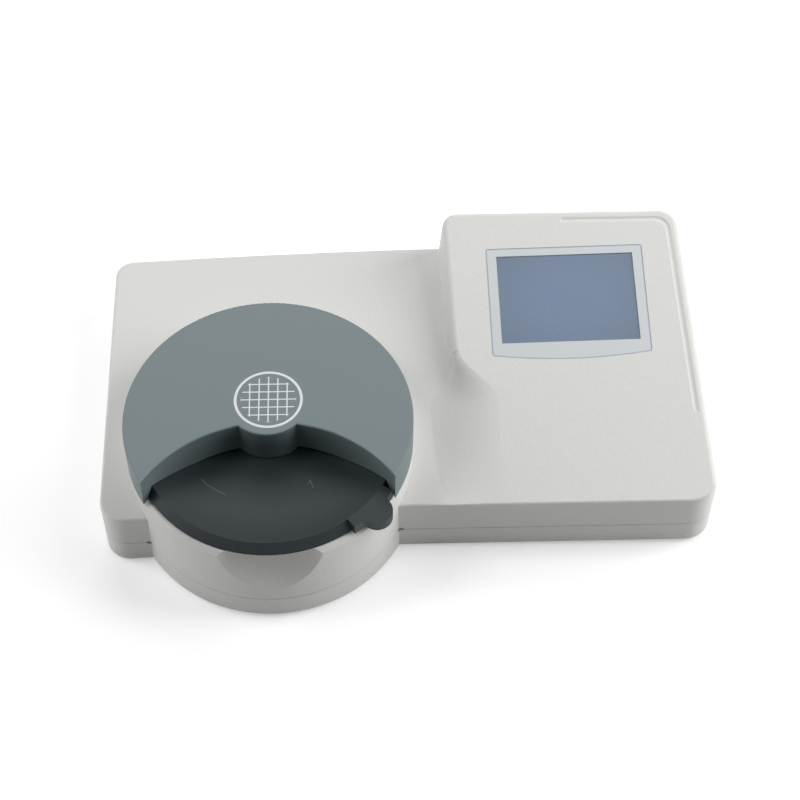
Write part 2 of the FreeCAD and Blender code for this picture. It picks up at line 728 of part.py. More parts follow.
def arm(angle, r0, r1, width, z0, z1):
    """Block at a direction about the turret's axis, from radius r0 to r1."""
    shape = box(r0, r1, -width / 2, width / 2, z0, z1)
    shape.rotate(V(0, 0, 0), UP, angle)
    shape.translate(V(TURRET_X, TURRET_Y, 0))
    return shape


HOOK_R = LID_R - LID_SKIRT
RING_UNDER = RING_Z - WALL


def hook_slot(angle):
    width = HOOK_W + 2 * HOOK_GAP
    low = RING_UNDER - HOOK_H - 0.5
    return arm(angle, HOOK_R - HOOK_GAP, HOOK_R + HOOK_T + HOOK_GAP, width, low, RING_Z + 1)


def hook(angle):
    stem = arm(angle, HOOK_R, HOOK_R + HOOK_T, HOOK_W, RING_UNDER - HOOK_H, RING_Z + 0.5)
    nose = arm(angle, HOOK_R - HOOK_BITE, HOOK_R + HOOK_T, HOOK_W, RING_UNDER - HOOK_H, RING_UNDER)
    return stem.fuse(nose)


def disc_profile():
    """Upper side of the disc from the axis to the rim: flat centre, dish, rim edge and rim cone."""
    run = DISC_TOP_R - DISC_CREST - DISC_FLAT_R
    rise = DISC_TOP - DISH_Z
    bend = (run * run + rise * rise) / (2 * rise)
    half = run / 2
    mid = V(DISC_FLAT_R + half, 0, DISH_Z + bend - math.sqrt(bend * bend - half * half))
    return V(DISC_FLAT_R, 0, DISH_Z), mid, V(DISC_TOP_R - DISC_CREST, 0, DISC_TOP)


def disc_solid(gap):
    """The turned disc. A gap gives the room that it sweeps, down to well below it."""
    inner, mid, crest = disc_profile()
    low = DISC_UNDER - 30 * (gap > 0)
    lift = V(0, 0, gap)
    rim = V(DISC_TOP_R + gap, 0, DISC_TOP + gap)
    foot = V(DISC_R + gap, 0, DISC_Z + gap)
    axis_top = V(0, 0, DISH_Z + gap)
    edges = [line(axis_top, inner + lift), Part.Arc(inner + lift, mid + lift, crest + lift).toShape(),
             line(crest + lift, rim), line(rim, foot)]
    if gap:
        below = [foot, V(DISC_R + gap, 0, low), V(0, 0, low), axis_top]
    else:
        below = [foot, V(DISC_UNDER_R + 1, 0, DISC_Z), V(DISC_UNDER_R, 0, DISC_UNDER),
                 V(0, 0, DISC_UNDER), axis_top]
    edges += [line(a, b) for a, b in zip(below, below[1:])]
    face = Part.Face(Part.Wire(edges))
    face.translate(V(TURRET_X, TURRET_Y, 0))
    return face.revolve(V(TURRET_X, TURRET_Y, 0), UP, 360)


def make_lid():
    bx = TURRET_X + BOSS_DX
    by = TURRET_Y + BOSS_DY
    crescent = lid_plan(0, RING_Z, LID_TOP)
    crescent = crescent.makeFillet(LID_ROUND, edges_at(crescent, LID_TOP))
    boss = cyl(BOSS_R, BOSS_Z, LID_TOP, bx, by)
    boss = boss.makeFillet(LID_ROUND, edges_at(boss, LID_TOP))
    outer = crescent.fuse(boss)
    space = lid_plan(LID_WALL, RING_Z - 5, ROOF_Z)
    space = space.fuse(cyl(BOSS_R - LID_WALL, BOSS_Z + LID_WALL, ROOF_Z, bx, by))
    floor = cyl(BOSS_R, BOSS_Z, BOSS_Z + LID_WALL, bx, by)
    space = space.cut(floor)
    lid = outer.cut(space).cut(disc_solid(COVER_GAP))
    for angle in HOOK_ANGLES:
        lid = lid.fuse(hook(angle))
    lid = lid.cut(cyl(UPPER_BUSH_R + SEAT, RING_Z - 5, ROOF_Z - 5, TURRET_X, TURRET_Y))
    return lid.removeSplitter()


# Sample disc and what turns with it
def hub_places():
    return [polar(HUB_SCREW_AT, a) for a in (90, 210, 330)]


def countersunk(x, y, z_top, z_tip):
    slope = HEAD_R - SCREW_R
    profile = [(0, z_tip), (SCREW_R, z_tip), (SCREW_R, z_top - slope), (HEAD_R, z_top), (0, z_top)]
    return turned(profile, x, y)


def stop_places():
    """Pins that the disc's key meets just past either end of its turn."""
    spread = math.degrees(2 * math.asin((KEY_R + STOP_PIN_R + STOP_GAP) / (2 * KEY_AT)))
    return [polar(KEY_AT, KEY_ANGLE + spread), polar(KEY_AT, KEY_ANGLE - TURN_RANGE - spread)]


def make_lug():
    """Thicker sector of the rim with the rounded thumb tab, blended by small fillets."""
    top = DISC_TOP
    x0, y0 = polar(LUG_R, LUG_FROM)
    x1, y1 = polar(LUG_R, (LUG_FROM + LUG_TO) / 2)
    x2, y2 = polar(LUG_R, LUG_TO)
    x3, y3 = polar(LUG_R - LUG_DEPTH, LUG_TO)
    x4, y4 = polar(LUG_R - LUG_DEPTH, LUG_FROM)
    rim = [Part.Arc(V(x0, y0, DISC_Z), V(x1, y1, DISC_Z), V(x2, y2, DISC_Z)).toShape(),
           line(V(x2, y2, DISC_Z), V(x3, y3, DISC_Z)), line(V(x3, y3, DISC_Z), V(x4, y4, DISC_Z)),
           line(V(x4, y4, DISC_Z), V(x0, y0, DISC_Z))]
    sector = Part.Face(Part.Wire(rim)).extrude(V(0, 0, top - DISC_Z))
    tx, ty = polar(TAB_REACH, TAB_ANGLE)
    lug = sector.fuse(cyl(TAB_R, DISC_Z, top, tx, ty)).removeSplitter()
    necks = []
    for edge in lug.Edges:
        ends = [v.Point for v in edge.Vertexes]
        if len(ends) == 2 and abs(ends[0].z - ends[1].z) > 5:
            gap_tab = abs(math.hypot(ends[0].x - tx, ends[0].y - ty) - TAB_R)
            gap_rim = abs(math.hypot(ends[0].x - TURRET_X, ends[0].y - TURRET_Y) - LUG_R)
            if gap_tab < 0.01 and gap_rim < 0.01:
                necks.append(edge)
    lug = lug.makeFillet(TAB_BLEND, necks)
    return lug.cut(cyl(DISC_TOP_R - DISC_CREST, DISC_Z - 1, top + 1, TURRET_X, TURRET_Y))


def make_disc():
    disc = disc_solid(0).fuse(make_lug())
    kx, ky = polar(KEY_AT, KEY_ANGLE)
    disc = disc.fuse(cyl(KEY_R, WELL_Z + 0.8, DISC_UNDER + 1, kx, ky))
    lx, ly = polar(LIGHT_R, 0)
    floor = DISH_Z - POCKET_DEPTH
    half = POCKET_W / 2
    pocket = box(TURRET_X + POCKET_R0, TURRET_X + POCKET_R1, TURRET_Y - half, TURRET_Y + half,
                 floor, DISC_TOP + 5)
    upright = [e for e in pocket.Edges if abs(e.Vertexes[0].Point.z - e.Vertexes[1].Point.z) > 5]
    mx, my = polar(MAGNET_AT, MAGNET_ANGLE)
    cuts = [pocket.makeFillet(1.5, upright), cyl(LIGHT_HOLE_R, DISC_UNDER - 1, floor + 1, lx, ly),
            cyl(SHAFT_R + SEAT, DISC_UNDER - 1, DISC_TOP, TURRET_X, TURRET_Y),
            cyl(MAGNET_R + SEAT, DISC_UNDER - 1, DISC_UNDER + MAGNET_T, mx, my)]
    cuts += [countersunk(x, y, DISH_Z, DISC_UNDER - 1) for x, y in hub_places()]
    for cut in cuts:
        disc = disc.cut(cut)
    return disc.removeSplitter()


def make_spindle():
    clip_z = WELL_Z - BUSH_LEN - FIT_END - CLIP_T
    low = clip_z - 1.6
    top = DISH_Z + SHAFT_ABOVE
    profile = [(0, low), (SHAFT_R - 0.5, low), (SHAFT_R, low + 0.5), (SHAFT_R, clip_z),
               (GROOVE_NECK_R, clip_z), (GROOVE_NECK_R, clip_z + CLIP_T), (SHAFT_R, clip_z + CLIP_T),
               (SHAFT_R, HUB_Z), (HUB_FLANGE_R, HUB_Z), (HUB_FLANGE_R, DISC_UNDER), (SHAFT_R, DISC_UNDER),
               (SHAFT_R, top - 0.5), (SHAFT_R - 0.5, top), (0, top)]
    shaft = turned(profile, TURRET_X, TURRET_Y)
    for x, y in hub_places():
        shaft = shaft.cut(cyl(SCREW_HOLE, HUB_Z - 1, DISC_UNDER + 1, x, y))
    return shaft


def make_clip():
    clip_z = WELL_Z - BUSH_LEN - FIT_END - CLIP_T
    ring = tube(CLIP_R, GROOVE_NECK_R, clip_z, clip_z + CLIP_T, TURRET_X, TURRET_Y)
    mouth = box(TURRET_X - 2.2, TURRET_X + 2.2, TURRET_Y - 10, TURRET_Y, clip_z - 1, clip_z + 2)
    return ring.cut(mouth)


def carousel_nodes():
    mx, my = polar(MAGNET_AT, MAGNET_ANGLE)
    screws = []
    for x, y in hub_places():
        body = countersunk(x, y, DISH_Z, HUB_Z + 0.2)
        screws.append(body.cut(cyl(RECESS_R, DISH_Z - RECESS_H, DISH_Z + 1, x, y)))
    magnet = cyl(MAGNET_R, DISC_UNDER, DISC_UNDER + MAGNET_T, mx, my)
    return {"sample_disc": make_disc(), "spindle": make_spindle(), "retaining_ring": make_clip(),
            "hub_screws": Part.makeCompound(screws), "position_magnet": magnet}


def bearing_nodes():
    bore = SHAFT_R + RUNNING
    flange_top = WELL_Z + BUSH_FLANGE_T
    lower = turned([(bore, WELL_Z - BUSH_LEN), (BUSH_R, WELL_Z - BUSH_LEN), (BUSH_R, WELL_Z),
                    (BUSH_FLANGE_R, WELL_Z), (BUSH_FLANGE_R, flange_top), (bore, flange_top)],
                   TURRET_X, TURRET_Y)
    seat = BOSS_Z + LID_WALL
    top = seat + UPPER_BUSH_LEN / 2
    upper = turned([(bore, BOSS_Z + 0.6), (UPPER_BUSH_R, BOSS_Z + 0.6), (UPPER_BUSH_R, seat),
                    (UPPER_BUSH_R + 1.8, seat), (UPPER_BUSH_R + 1.8, seat + 1), (UPPER_BUSH_R, seat + 1),
                    (UPPER_BUSH_R, top), (bore, top)], TURRET_X, TURRET_Y)
    washer = tube(WASHER_R, SHAFT_R + 0.6, flange_top, HUB_Z - FIT_END, TURRET_X, TURRET_Y)
    pin = [(0, WELL_Z - 1.5), (STOP_PIN_R, WELL_Z - 1.5), (STOP_PIN_R, DISC_UNDER - 1),
           (STOP_PIN_R - 0.4, DISC_UNDER - 0.6), (0, DISC_UNDER - 0.6)]
    pins = Part.makeCompound([turned(pin, x, y) for x, y in stop_places()])
    return {"lower_bush": lower, "upper_bush": upper, "wave_washer": washer, "stop_pins": pins}


# Light path above and below the disc
def optics_nodes():
    x, y = polar(LIGHT_R, 0)
    low = CEILING_Z - HOLDER_LEN
    holder = turned([(LAMP_R + SEAT, low), (HOLDER_R, low), (HOLDER_R, CEILING_Z), (2, CEILING_Z),
                     (2, CEILING_Z - 1.5), (LAMP_R + SEAT, CEILING_Z - 1.5)], x, y)
    detector = cyl(LAMP_R, low, CEILING_Z - 1.5, x, y)
    window = cyl(WINDOW_R, WELL_Z - WINDOW_T, WELL_Z, x, y)
    w, d = SENSOR_BOARD
    board = box(x - w / 2, x + w / 2, y - d / 2, y + d / 2, low - BOARD_T, low)
    screws = []
    for side in (-1, 1):
        sx = x + side * SENSOR_POST
        sy = y + side * 8
        board = board.cut(cyl(SCREW_HOLE, low - 5, low + 1, sx, sy))
        screws.append(screw(sx, sy, low - BOARD_T, low + 5))
    lamp_low = ROOF_Z - LAMP_CAP - 6
    profile = [(0, ROOF_Z - LAMP_CAP), (LAMP_R + SEAT, ROOF_Z - LAMP_CAP), (LAMP_R + SEAT, lamp_low - 0.5),
               (HOLDER_R - 1, lamp_low - 0.5), (HOLDER_R, lamp_low + 0.5), (HOLDER_R, ROOF_Z), (0, ROOF_Z)]
    socket = turned(profile, x, y)
    lamp = cyl(LAMP_R, lamp_low + LAMP_R, ROOF_Z - LAMP_CAP, x, y)
    lamp = lamp.fuse(Part.makeSphere(LAMP_R, V(x, y, lamp_low + LAMP_R))).removeSplitter()
    return {"detector_holder": holder, "detector": detector, "optic_window": window, "sensor_board": board,
            "sensor_board_screws": Part.makeCompound(screws), "lamp_holder": socket, "lamp": lamp}


# Main board and its parts
def board_corners():
    x0, x1 = MAIN_BOARD_X
    y0, y1 = MAIN_BOARD_Y
    return [(x, FRONT_Y + y) for x in (x0 + 6, x1 - 6) for y in (y0 + 6, y1 - 6)]


def board_nodes():
    x0, x1 = MAIN_BOARD_X
    y0, y1 = MAIN_BOARD_Y
    board = box(x0, x1, FRONT_Y + y0, FRONT_Y + y1, BOARD_Z, BOARD_TOP)
    screws = []
    for x, y in board_corners():
        board = board.cut(cyl(SCREW_HOLE, 0, 30, x, y))
        screws.append(screw(x, y, BOARD_TOP, FLOOR_Z + 2))
    cx = (x0 + x1) / 2
    cy = FRONT_Y + 80
    chip = box(cx - 10, cx + 10, cy - 10, cy + 10, BOARD_TOP, BOARD_TOP + 1.4)
    caps = [cyl(4, BOARD_TOP, BOARD_TOP + 10, x1 - 40, cy + 30 + 10 * k) for k in range(3)]
    hx = x0 + 26
    hy = FRONT_Y + 56
    holder = tube(11.6, 10.02, BOARD_TOP, BOARD_TOP + 3, hx, hy)
    holder = holder.fuse(cyl(11.6, BOARD_TOP, BOARD_TOP + 0.6, hx, hy)).removeSplitter()
    cell = cyl(10, BOARD_TOP + 0.6, BOARD_TOP + 3.8, hx, hy)
    beeper = tube(6, 1, BOARD_TOP, BOARD_TOP + 8, x1 - 20, hy)
    beeper = beeper.fuse(cyl(6, BOARD_TOP, BOARD_TOP + 5, x1 - 20, hy)).removeSplitter()
    return {"main_board": board, "main_board_screws": Part.makeCompound(screws), "processor": chip,
            "capacitors": Part.makeCompound(caps), "coin_cell": cell, "coin_cell_holder": holder,
            "beeper": beeper}


def rear_nodes():
    w, d, h = SERIAL_BODY
    inside = BACK_Y - WALL
    z = BOARD_TOP + h / 2
    body = box(SERIAL_X - w / 2, SERIAL_X + w / 2, inside - d, inside, BOARD_TOP, BOARD_TOP + h)
    shell = serial_prism(0, inside - 1, BACK_Y + REAR_OUT).cut(serial_prism(-0.8, BACK_Y - 1, BACK_Y + 10))
    port = body.fuse(shell)
    for row, count, dz in ((0, 5, 1.4), (1, 4, -1.4)):
        for k in range(count):
            px = SERIAL_X + (k - (count - 1) / 2) * 2.77
            port = port.fuse(cyl_y(0.5, BACK_Y - 2, BACK_Y + REAR_OUT - 1, px, z + dz))
    jacks = []
    for x, jz in jack_places():
        port = port.cut(cyl_y(SCREW_HOLE, inside - 6, inside + 1, x, jz))
        corners = [math.radians(60 * k) for k in range(6)]
        ring = [V(x + JACK_R * math.cos(a), BACK_Y, jz + JACK_R * math.sin(a)) for a in corners]
        nut = face_of(ring).extrude(V(0, REAR_OUT - 0.4, 0))
        post = nut.fuse(cyl_y(SCREW_R, inside - 5, BACK_Y, x, jz))
        post = post.cut(cyl_y(1.1, BACK_Y + 1, BACK_Y + 9, x, jz))
        jacks.append(post.removeSplitter())
    iw, deep, ih = INLET_SIZE
    inlet = box(INLET_X - iw / 2, INLET_X + iw / 2, BACK_Y - deep, BACK_Y, BOARD_TOP, BOARD_TOP + ih)
    iz = BOARD_TOP + ih / 2
    inlet = inlet.cut(cyl_y(INLET_BORE, BACK_Y - 9, BACK_Y + 1, INLET_X, iz))
    inlet = inlet.fuse(cyl_y(1, BACK_Y - 10, BACK_Y - 1, INLET_X, iz))
    return {"serial_port": port.removeSplitter(), "jack_posts": Part.makeCompound(jacks),
            "power_inlet": inlet.removeSplitter()}


def switch_nodes():
    """Rocker switch: a clipped-in body, and the rocker turned to its off side."""
    w, h = SWITCH_SIZE
    axis_y = BACK_Y + 0.2
    half_w = ROCKER_W / 2
    bezel = box(SWITCH_X - w / 2 - BEZEL, SWITCH_X + w / 2 + BEZEL, BACK_Y, BACK_Y + BEZEL_T,
                SWITCH_Z - h / 2 - BEZEL, SWITCH_Z + h / 2 + BEZEL)
    bezel = bezel.makeFillet(1.0, [e for e in bezel.Edges if e.CenterOfMass.y > BACK_Y + BEZEL_T - 0.01])
    body = box(SWITCH_X - w / 2 + 0.1, SWITCH_X + w / 2 - 0.1, BACK_Y - SWITCH_DEEP, BACK_Y + 0.5,
               SWITCH_Z - h / 2 + 0.1, SWITCH_Z + h / 2 - 0.1)
    room = box(SWITCH_X - half_w - 0.2, SWITCH_X + half_w + 0.2, axis_y - 8, BACK_Y + 5,
               SWITCH_Z - ROCKER_R - 0.2, SWITCH_Z + ROCKER_R + 0.2)
    body = bezel.fuse(body).removeSplitter().cut(room)
    x0 = SWITCH_X - half_w
    pivot = Part.makeCylinder(PIVOT_R, ROCKER_W + 1.2, V(x0 - 0.6, axis_y, SWITCH_Z), EAST)
    bore = Part.makeCylinder(PIVOT_R + RUNNING, ROCKER_W + 1.4, V(x0 - 0.7, axis_y, SWITCH_Z), EAST)
    rise = ROCKER_R * math.tan(math.radians(ROCKER_TILT))
    front = axis_y + 1.0
    back = axis_y - ROCKER_BACK
    side = [V(x0, back, SWITCH_Z - ROCKER_R), V(x0, front + rise, SWITCH_Z - ROCKER_R),
            V(x0, front, SWITCH_Z), V(x0, front + rise, SWITCH_Z + ROCKER_R),
            V(x0, back, SWITCH_Z + ROCKER_R)]
    wedge = face_of(side).extrude(V(ROCKER_W, 0, 0))
    drum = Part.makeCylinder(ROCKER_R, ROCKER_W, V(x0, axis_y, SWITCH_Z), EAST)
    rocker = wedge.common(drum).fuse(pivot).removeSplitter()
    rocker.rotate(V(SWITCH_X, axis_y, SWITCH_Z), EAST, -ROCKER_TILT)
    return {"switch_body": body.cut(bore), "power_rocker": rocker}


def all_nodes():
    nodes = {"top_shell": make_top_shell(), "base_shell": make_base_shell(), "lid_cover": make_lid()}
    nodes["rubber_feet"] = Part.makeCompound(make_feet())
    head = BODY_Z + HEAD_H + 0.6
    screws = [screw(x, y, head, PART_Z + CASE_SCREW_IN) for x, y in front_places(CASE_SCREWS)]
    nodes["case_screws"] = Part.makeCompound(screws)
    for group in (carousel_nodes(), bearing_nodes(), optics_nodes(), display_nodes(), board_nodes(), rear_nodes(),
                  switch_nodes()):
        nodes.update(group)
    return nodes


for name, shape in all_nodes().items():
    shape.exportStep("parts/" + name + ".step")
    print(name, len(shape.Solids), round(shape.Volume, 1), "valid" if shape.isValid() else "NOT VALID")
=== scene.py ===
import bpy
import math
from mathutils import Matrix, Vector
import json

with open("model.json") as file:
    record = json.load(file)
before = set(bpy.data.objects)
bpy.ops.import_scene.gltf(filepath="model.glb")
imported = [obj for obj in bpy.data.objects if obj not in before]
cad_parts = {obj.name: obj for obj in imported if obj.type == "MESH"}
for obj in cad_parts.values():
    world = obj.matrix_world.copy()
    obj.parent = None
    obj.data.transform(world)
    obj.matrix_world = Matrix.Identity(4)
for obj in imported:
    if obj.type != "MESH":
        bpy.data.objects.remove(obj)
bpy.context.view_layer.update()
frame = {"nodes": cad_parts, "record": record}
NODES = frame["nodes"]
MM = 0.001
BLACK = (0.0, 0.0, 0.0, 1.0)
WHITE = (1.0, 1.0, 1.0, 1.0)

# Places and sizes on the object (m)
LID_TOP = 0.0739
EMBLEM_AT = (-0.0719, -0.0232)
EMBLEM_R = 0.017
EMBLEM_LINE = 0.0007
FIELD_R = EMBLEM_R - 0.0028
FIELD_PITCH = 0.0048
FIELD_LINE = 0.00032

LCD_AT = (0.088, 0.0497)
LCD_HALF = (0.041, 0.031)
LCD_TURN = math.radians(1.07)
SLOPE = math.atan2(31.1, 171.5)
SLOPE_FOOT = (-0.0680, 0.040)

BORDER_X = 0.0425
BORDER_TOP = 0.0311
BORDER_LOW = -0.0335
BORDER_BOW = 0.0032
BORDER_LINE = 0.0006

# Fine handling marks on the turntable, as the ends of short straight strokes (mm)
DISC_MARKS = (
    ((-106.5, -57.9), (-104.8, -60.4)),
    ((-104.8, -60.4), (-100.5, -63.7)),
    ((-100.5, -63.7), (-94.3, -67.4)),
    ((-51.0, -59.1), (-49.6, -63.9)),
    ((-51.0, -59.1), (-52.0, -61.6)),
)
MARK_WIDTH = 0.16

# Edges sharper than this stay crisp in the smooth shading
SHARP_ANGLE = math.radians(28)

# Soft panels round the object: name, place, width, height (m) and power (W)
PANELS_AIM = (0.0, 0.0, 0.03)
PANELS = (
    ("overhead back", (0.1, 1.1, 1.2), 1.6, 0.8, 9.1),
    ("upper right", (0.95, 0.1, 1.45), 0.6, 0.6, 5.25),
    ("upper left", (-0.95, 0.1, 1.45), 0.6, 0.6, 6.4),
    ("right side", (1.3, 0.1, 0.75), 0.9, 0.9, 12.4),
    ("left side", (-1.3, 0.1, 0.75), 0.9, 0.9, 4.35),
    ("right low", (1.5, -0.25, 0.2), 0.9, 0.35, 3.45),
    ("left low", (-1.5, -0.25, 0.2), 0.9, 0.35, 2.8),
)

# Room: a faint even light, and how far the bench's clear parts are brought up to white
ROOM_COLOUR = (0.97, 0.985, 1.0, 1.0)
ROOM_STRENGTH = 0.02
BENCH_SIZE = 8.0
BENCH_GLOW = 0.42

# Camera, as found from the photograph's own outlines
CAMERA_AT = Vector((-20.09, -625.1, 922.87)) * MM
CAMERA_PITCH = math.radians(54.736)
CAMERA_YAW = math.radians(1.499)
CAMERA_ROLL = math.radians(-0.178)
CAMERA_LENS = 91.24
CAMERA_SENSOR = 36.0
CAMERA_FAR = 50.0


# Small helpers for shader trees
class Tree:
    """A material's shader tree, with short calls for the nodes that the finishes use."""

    def __init__(self, name):
        self.material = bpy.data.materials.new(name)
        self.material.use_nodes = True
        self.tree = self.material.node_tree
        self.tree.nodes.clear()
        self.out = self.tree.nodes.new("ShaderNodeOutputMaterial")
        self.coords = self.tree.nodes.new("ShaderNodeTexCoord").outputs["Object"]

    def node(self, kind, inputs=None, **settings):
        made = self.tree.nodes.new(kind)
        for key, value in settings.items():
            setattr(made, key, value)
        for key, value in (inputs or {}).items():
            self.feed(made.inputs[key], value)
        return made

    def feed(self, socket, value):
        """Link a socket to a socket, or set it to a constant."""
        if isinstance(value, bpy.types.NodeSocket):
            self.tree.links.new(value, socket)
        else:
            socket.default_value = value

    def math(self, operation, a, b=0.0):
        return self.node("ShaderNodeMath", {0: a, 1: b}, operation=operation).outputs[0]

    def near(self, a, b, within):
        """1 where two values differ by no more than a given amount, else 0."""
        return self.node("ShaderNodeMath", {0: a, 1: b, 2: within}, operation="COMPARE").outputs[0]

    def square(self, value):
        return self.math("MULTIPLY", value, value)

    def split(self, vector):
        parts = self.node("ShaderNodeSeparateXYZ", {"Vector": vector})
        return parts.outputs["X"], parts.outputs["Y"], parts.outputs["Z"]

    def noise(self, scale, detail, rough=0.5):
        inputs = {"Vector": self.coords, "Scale": scale, "Detail": detail, "Roughness": rough}
        return self.node("ShaderNodeTexNoise", inputs).outputs["Fac"]

    def ramp(self, value, low, high, out_low, out_high):
        inputs = {"Value": value, "From Min": low, "From Max": high, "To Min": out_low, "To Max": out_high}
        return self.node("ShaderNodeMapRange", inputs).outputs["Result"]

    def mix(self, factor, a, b):
        made = self.node("ShaderNodeMix", data_type="RGBA")
        self.feed(made.inputs[0], factor)
        self.feed(made.inputs[6], a)
        self.feed(made.inputs[7], b)
        return made.outputs[2]

    def bump(self, height, strength, distance=0.0002):
        inputs = {"Height": height, "Strength": strength, "Distance": distance}
        return self.node("ShaderNodeBump", inputs).outputs["Normal"]

    def surface(self, **values):
        inputs = {key.replace("_", " "): value for key, value in values.items()}
        shader = self.node("ShaderNodeBsdfPrincipled", inputs)
        return self.shaded(shader)

    def shaded(self, shader):
        self.tree.links.new(shader.outputs[0], self.out.inputs["Surface"])
        return self.material

    def seen_directly(self):
        return seen_directly(self.tree)


def seen_directly(tree):
    """1 for rays from the camera, also by way of a mirror or through glass, else 0."""
    path = tree.nodes.new("ShaderNodeLightPath")
    total = path.outputs["Is Camera Ray"]
    for kind in ("Is Glossy Ray", "Is Transmission Ray"):
        joined = tree.nodes.new("ShaderNodeMath")
        joined.operation = "MAXIMUM"
        tree.links.new(total, joined.inputs[0])
        tree.links.new(path.outputs[kind], joined.inputs[1])
        total = joined.outputs[0]
    return total


def scaled(colour, k):
    return (colour[0] * k, colour[1] * k, colour[2] * k, 1.0)


# Finishes for plain plastic and metal
def moulded(name, colour, rough, grain=0.06, spread=0.03):
    """Moulded plastic: a fine spark-eroded grain and slow, faint changes of tone."""
    t = Tree(name)
    slow = t.noise(9.0, 2.0)
    fine = t.noise(900.0, 2.0, 0.6)
    base = t.mix(slow, scaled(colour, 1 - spread), scaled(colour, 1 + spread))
    speck = t.mix(t.ramp(fine, 0.35, 0.65, 0.0, 0.05), base, BLACK)
    roughness = t.math("MULTIPLY", t.ramp(slow, 0.3, 0.7, 1 - spread, 1 + spread), rough)
    normal = t.bump(fine, grain)
    return t.surface(Base_Color=speck, Roughness=roughness, Normal=normal, Specular_IOR_Level=0.4)


def metal(name, colour, rough):
    """Metal with a fine, uneven grain."""
    t = Tree(name)
    grain = t.noise(220.0, 4.0, 0.7)
    tone = t.mix(t.ramp(grain, 0.3, 0.7, 0.0, 1.0), scaled(colour, 0.86), colour)
    roughness = t.ramp(grain, 0.2, 0.8, rough * 0.8, rough * 1.3)
    return t.surface(Base_Color=tone, Metallic=1.0, Roughness=roughness, Normal=t.bump(grain, 0.08))


# Cover with a plain white emblem: a ring and a ruled field, as on a counting chamber
def ruled(t, value):
    """1 on evenly spaced thin lines, else 0."""
    half = FIELD_PITCH / 2
    away = t.math("PINGPONG", t.math("ADD", value, half), half)
    return t.math("GREATER_THAN", away, half - FIELD_LINE)


def cover_finish():
    t = Tree("cover plastic")
    colour = (0.154, 0.194, 0.205, 1.0)
    slow = t.noise(8.0, 2.0)
    fine = t.noise(1100.0, 2.0, 0.6)
    base = t.mix(slow, scaled(colour, 0.975), scaled(colour, 1.025))
    across, along, height = t.split(t.coords)
    x = t.math("SUBTRACT", across, EMBLEM_AT[0])
    y = t.math("SUBTRACT", along, EMBLEM_AT[1])
    radius = t.math("SQRT", t.math("ADD", t.square(x), t.square(y)))
    ring = t.near(radius, EMBLEM_R, EMBLEM_LINE)
    inside = t.math("LESS_THAN", radius, FIELD_R)
    field = t.math("MULTIPLY", t.math("MAXIMUM", ruled(t, x), ruled(t, y)), inside)
    on_top = t.math("GREATER_THAN", height, LID_TOP)
    mark = t.math("MULTIPLY", t.math("MAXIMUM", ring, field), on_top)
    tone = t.mix(t.math("MULTIPLY", mark, 0.9), base, (0.80, 0.82, 0.82, 1.0))
    roughness = t.ramp(slow, 0.3, 0.7, 0.42, 0.47)
    return t.surface(Base_Color=tone, Roughness=roughness, Normal=t.bump(fine, 0.08), Specular_IOR_Level=0.45)


# Turntable with its handling marks
def near_line(t, x, y, start, end):
    """1 within the mark's width of the straight line between two points, else 0; all in millimetres."""
    dx, dy = end[0] - start[0], end[1] - start[1]
    length = math.hypot(dx, dy)
    px = t.math("SUBTRACT", x, start[0])
    py = t.math("SUBTRACT", y, start[1])
    along = t.math("ADD", t.math("MULTIPLY", px, dx / length), t.math("MULTIPLY", py, dy / length))
    across = t.math("SUBTRACT", t.math("MULTIPLY", px, dy / length), t.math("MULTIPLY", py, dx / length))
    beyond = t.math("ABSOLUTE", t.math("SUBTRACT", along, length / 2))
    beyond = t.math("MAXIMUM", t.math("SUBTRACT", beyond, length / 2), 0.0)
    away = t.math("MAXIMUM", t.math("ABSOLUTE", across), beyond)
    return t.math("LESS_THAN", away, MARK_WIDTH)


def disc_finish():
    """Dark satin plastic with a few fine, light handling marks."""
    t = Tree("carousel plastic")
    colour = (0.018, 0.026, 0.029, 1.0)
    slow = t.noise(14.0, 3.0)
    fine = t.noise(1000.0, 2.0, 0.6)
    base = t.mix(slow, scaled(colour, 0.92), scaled(colour, 1.1))
    across, along, _ = t.split(t.coords)
    x = t.math("MULTIPLY", across, 1 / MM)
    y = t.math("MULTIPLY", along, 1 / MM)
    marks = 0.0
    for start, end in DISC_MARKS:
        marks = t.math("MAXIMUM", near_line(t, x, y, start, end), marks)
    tone = t.mix(t.math("MULTIPLY", marks, 0.35), base, (0.30, 0.33, 0.34, 1.0))
    roughness = t.ramp(slow, 0.3, 0.7, 0.38, 0.46)
    return t.surface(Base_Color=tone, Roughness=roughness, Normal=t.bump(fine, 0.05), Specular_IOR_Level=0.25)


# Display: the printed film round it and the picture area
def laid_coords(t):
    """Coordinates from the middle of the picture area, along the display's own sides."""
    foot_y, foot_z = SLOPE_FOOT
    z = foot_z + (LCD_AT[1] - foot_y) * math.tan(SLOPE)
    inputs = {"Vector": t.coords, "Location": (LCD_AT[0], LCD_AT[1], z), "Rotation": (SLOPE, 0.0, LCD_TURN)}
    mapping = t.node("ShaderNodeMapping", inputs, vector_type="TEXTURE")
    x, y, _ = t.split(mapping.outputs[0])
    return x, y


